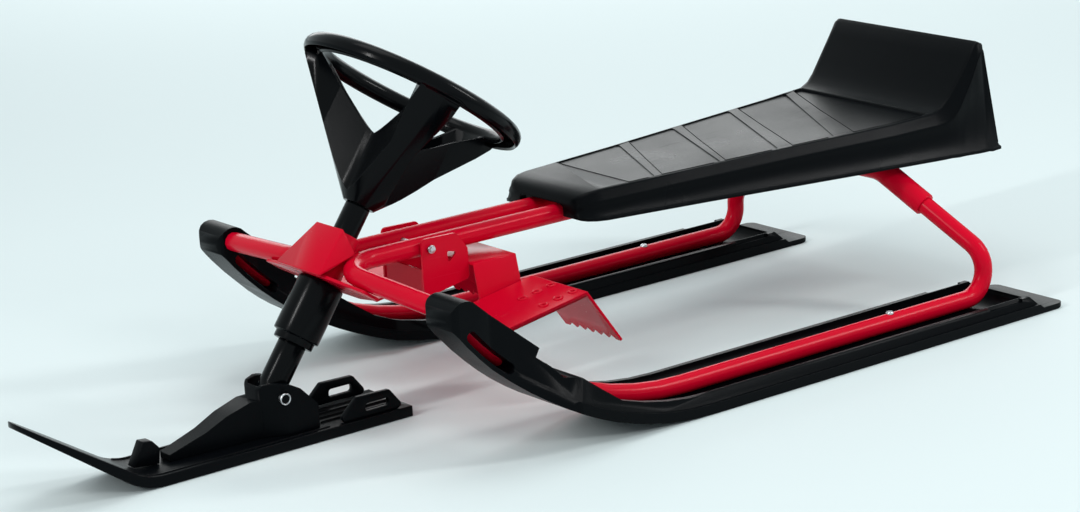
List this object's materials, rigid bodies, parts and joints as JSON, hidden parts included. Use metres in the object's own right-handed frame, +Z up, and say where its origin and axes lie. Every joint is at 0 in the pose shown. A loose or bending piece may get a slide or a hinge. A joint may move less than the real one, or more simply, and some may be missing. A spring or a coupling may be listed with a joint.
{
  "type": "steerable snow sled",
  "caption": "Steerable snow sled: bent tube frame on rear skis, moulded seat with low back, raked steering wheel with front ski, and foot plates with toothed brake claws.",
  "frame": {"origin": "centre of the bounding box on the floor under the skis", "axes": "+X to the rear of the sled, +Y to the rider's right, +Z up"},
  "size_m": [1.174, 0.515, 0.3919],
  "materials": {
    "black_plastic": "fine satin grain",
    "red_paint": "gloss powder coat",
    "zinc_steel": "bright zinc plated"
  },
  "bodies": {
    "frame": {"side_tube_left": "red_paint", "side_tube_right": "red_paint", "seat_crossmember": "red_paint", "head_tube": "red_paint", "head_plate": "red_paint", "head_hood": "red_paint", "rail_tie": "red_paint", "rear_ski_left": "black_plastic", "rear_ski_right": "black_plastic", "seat_shell": "black_plastic", "brake_bolt": "zinc_steel"},
    "steering": {"steering_wheel": "black_plastic", "steering_column": "black_plastic", "spring_housing": "black_plastic", "fork_stem": "black_plastic"},
    "front_ski": {"front_ski_board": "black_plastic", "front_ski_saddle": "black_plastic", "pivot_pin": "zinc_steel", "deck_loop_left": "black_plastic", "deck_loop_right": "black_plastic", "rope_anchor": "black_plastic"},
    "brake": {"brake_bracket": "red_paint", "brake_bridge": "red_paint", "brake_pedal_left": "red_paint", "brake_pedal_right": "red_paint"}
  },
  "joints": [
    {"name": "steering", "type": "hinge", "parent": "frame", "child": "steering", "pos_m": [-0.203, 0, 0.195], "axis": [0.5878, 0, 0.809], "range_deg": [-35, 35]},
    {"name": "front_ski_pitch", "type": "hinge", "parent": "steering", "child": "front_ski", "pos_m": [-0.30835, 0, 0.05], "axis": [0, 1, 0], "range_deg": [-10, 10]},
    {"name": "brake", "type": "hinge", "parent": "frame", "child": "brake", "pos_m": [-0.13, 0, 0.166], "axis": [0, 1, 0], "range_deg": [0, 25]}
  ]
}
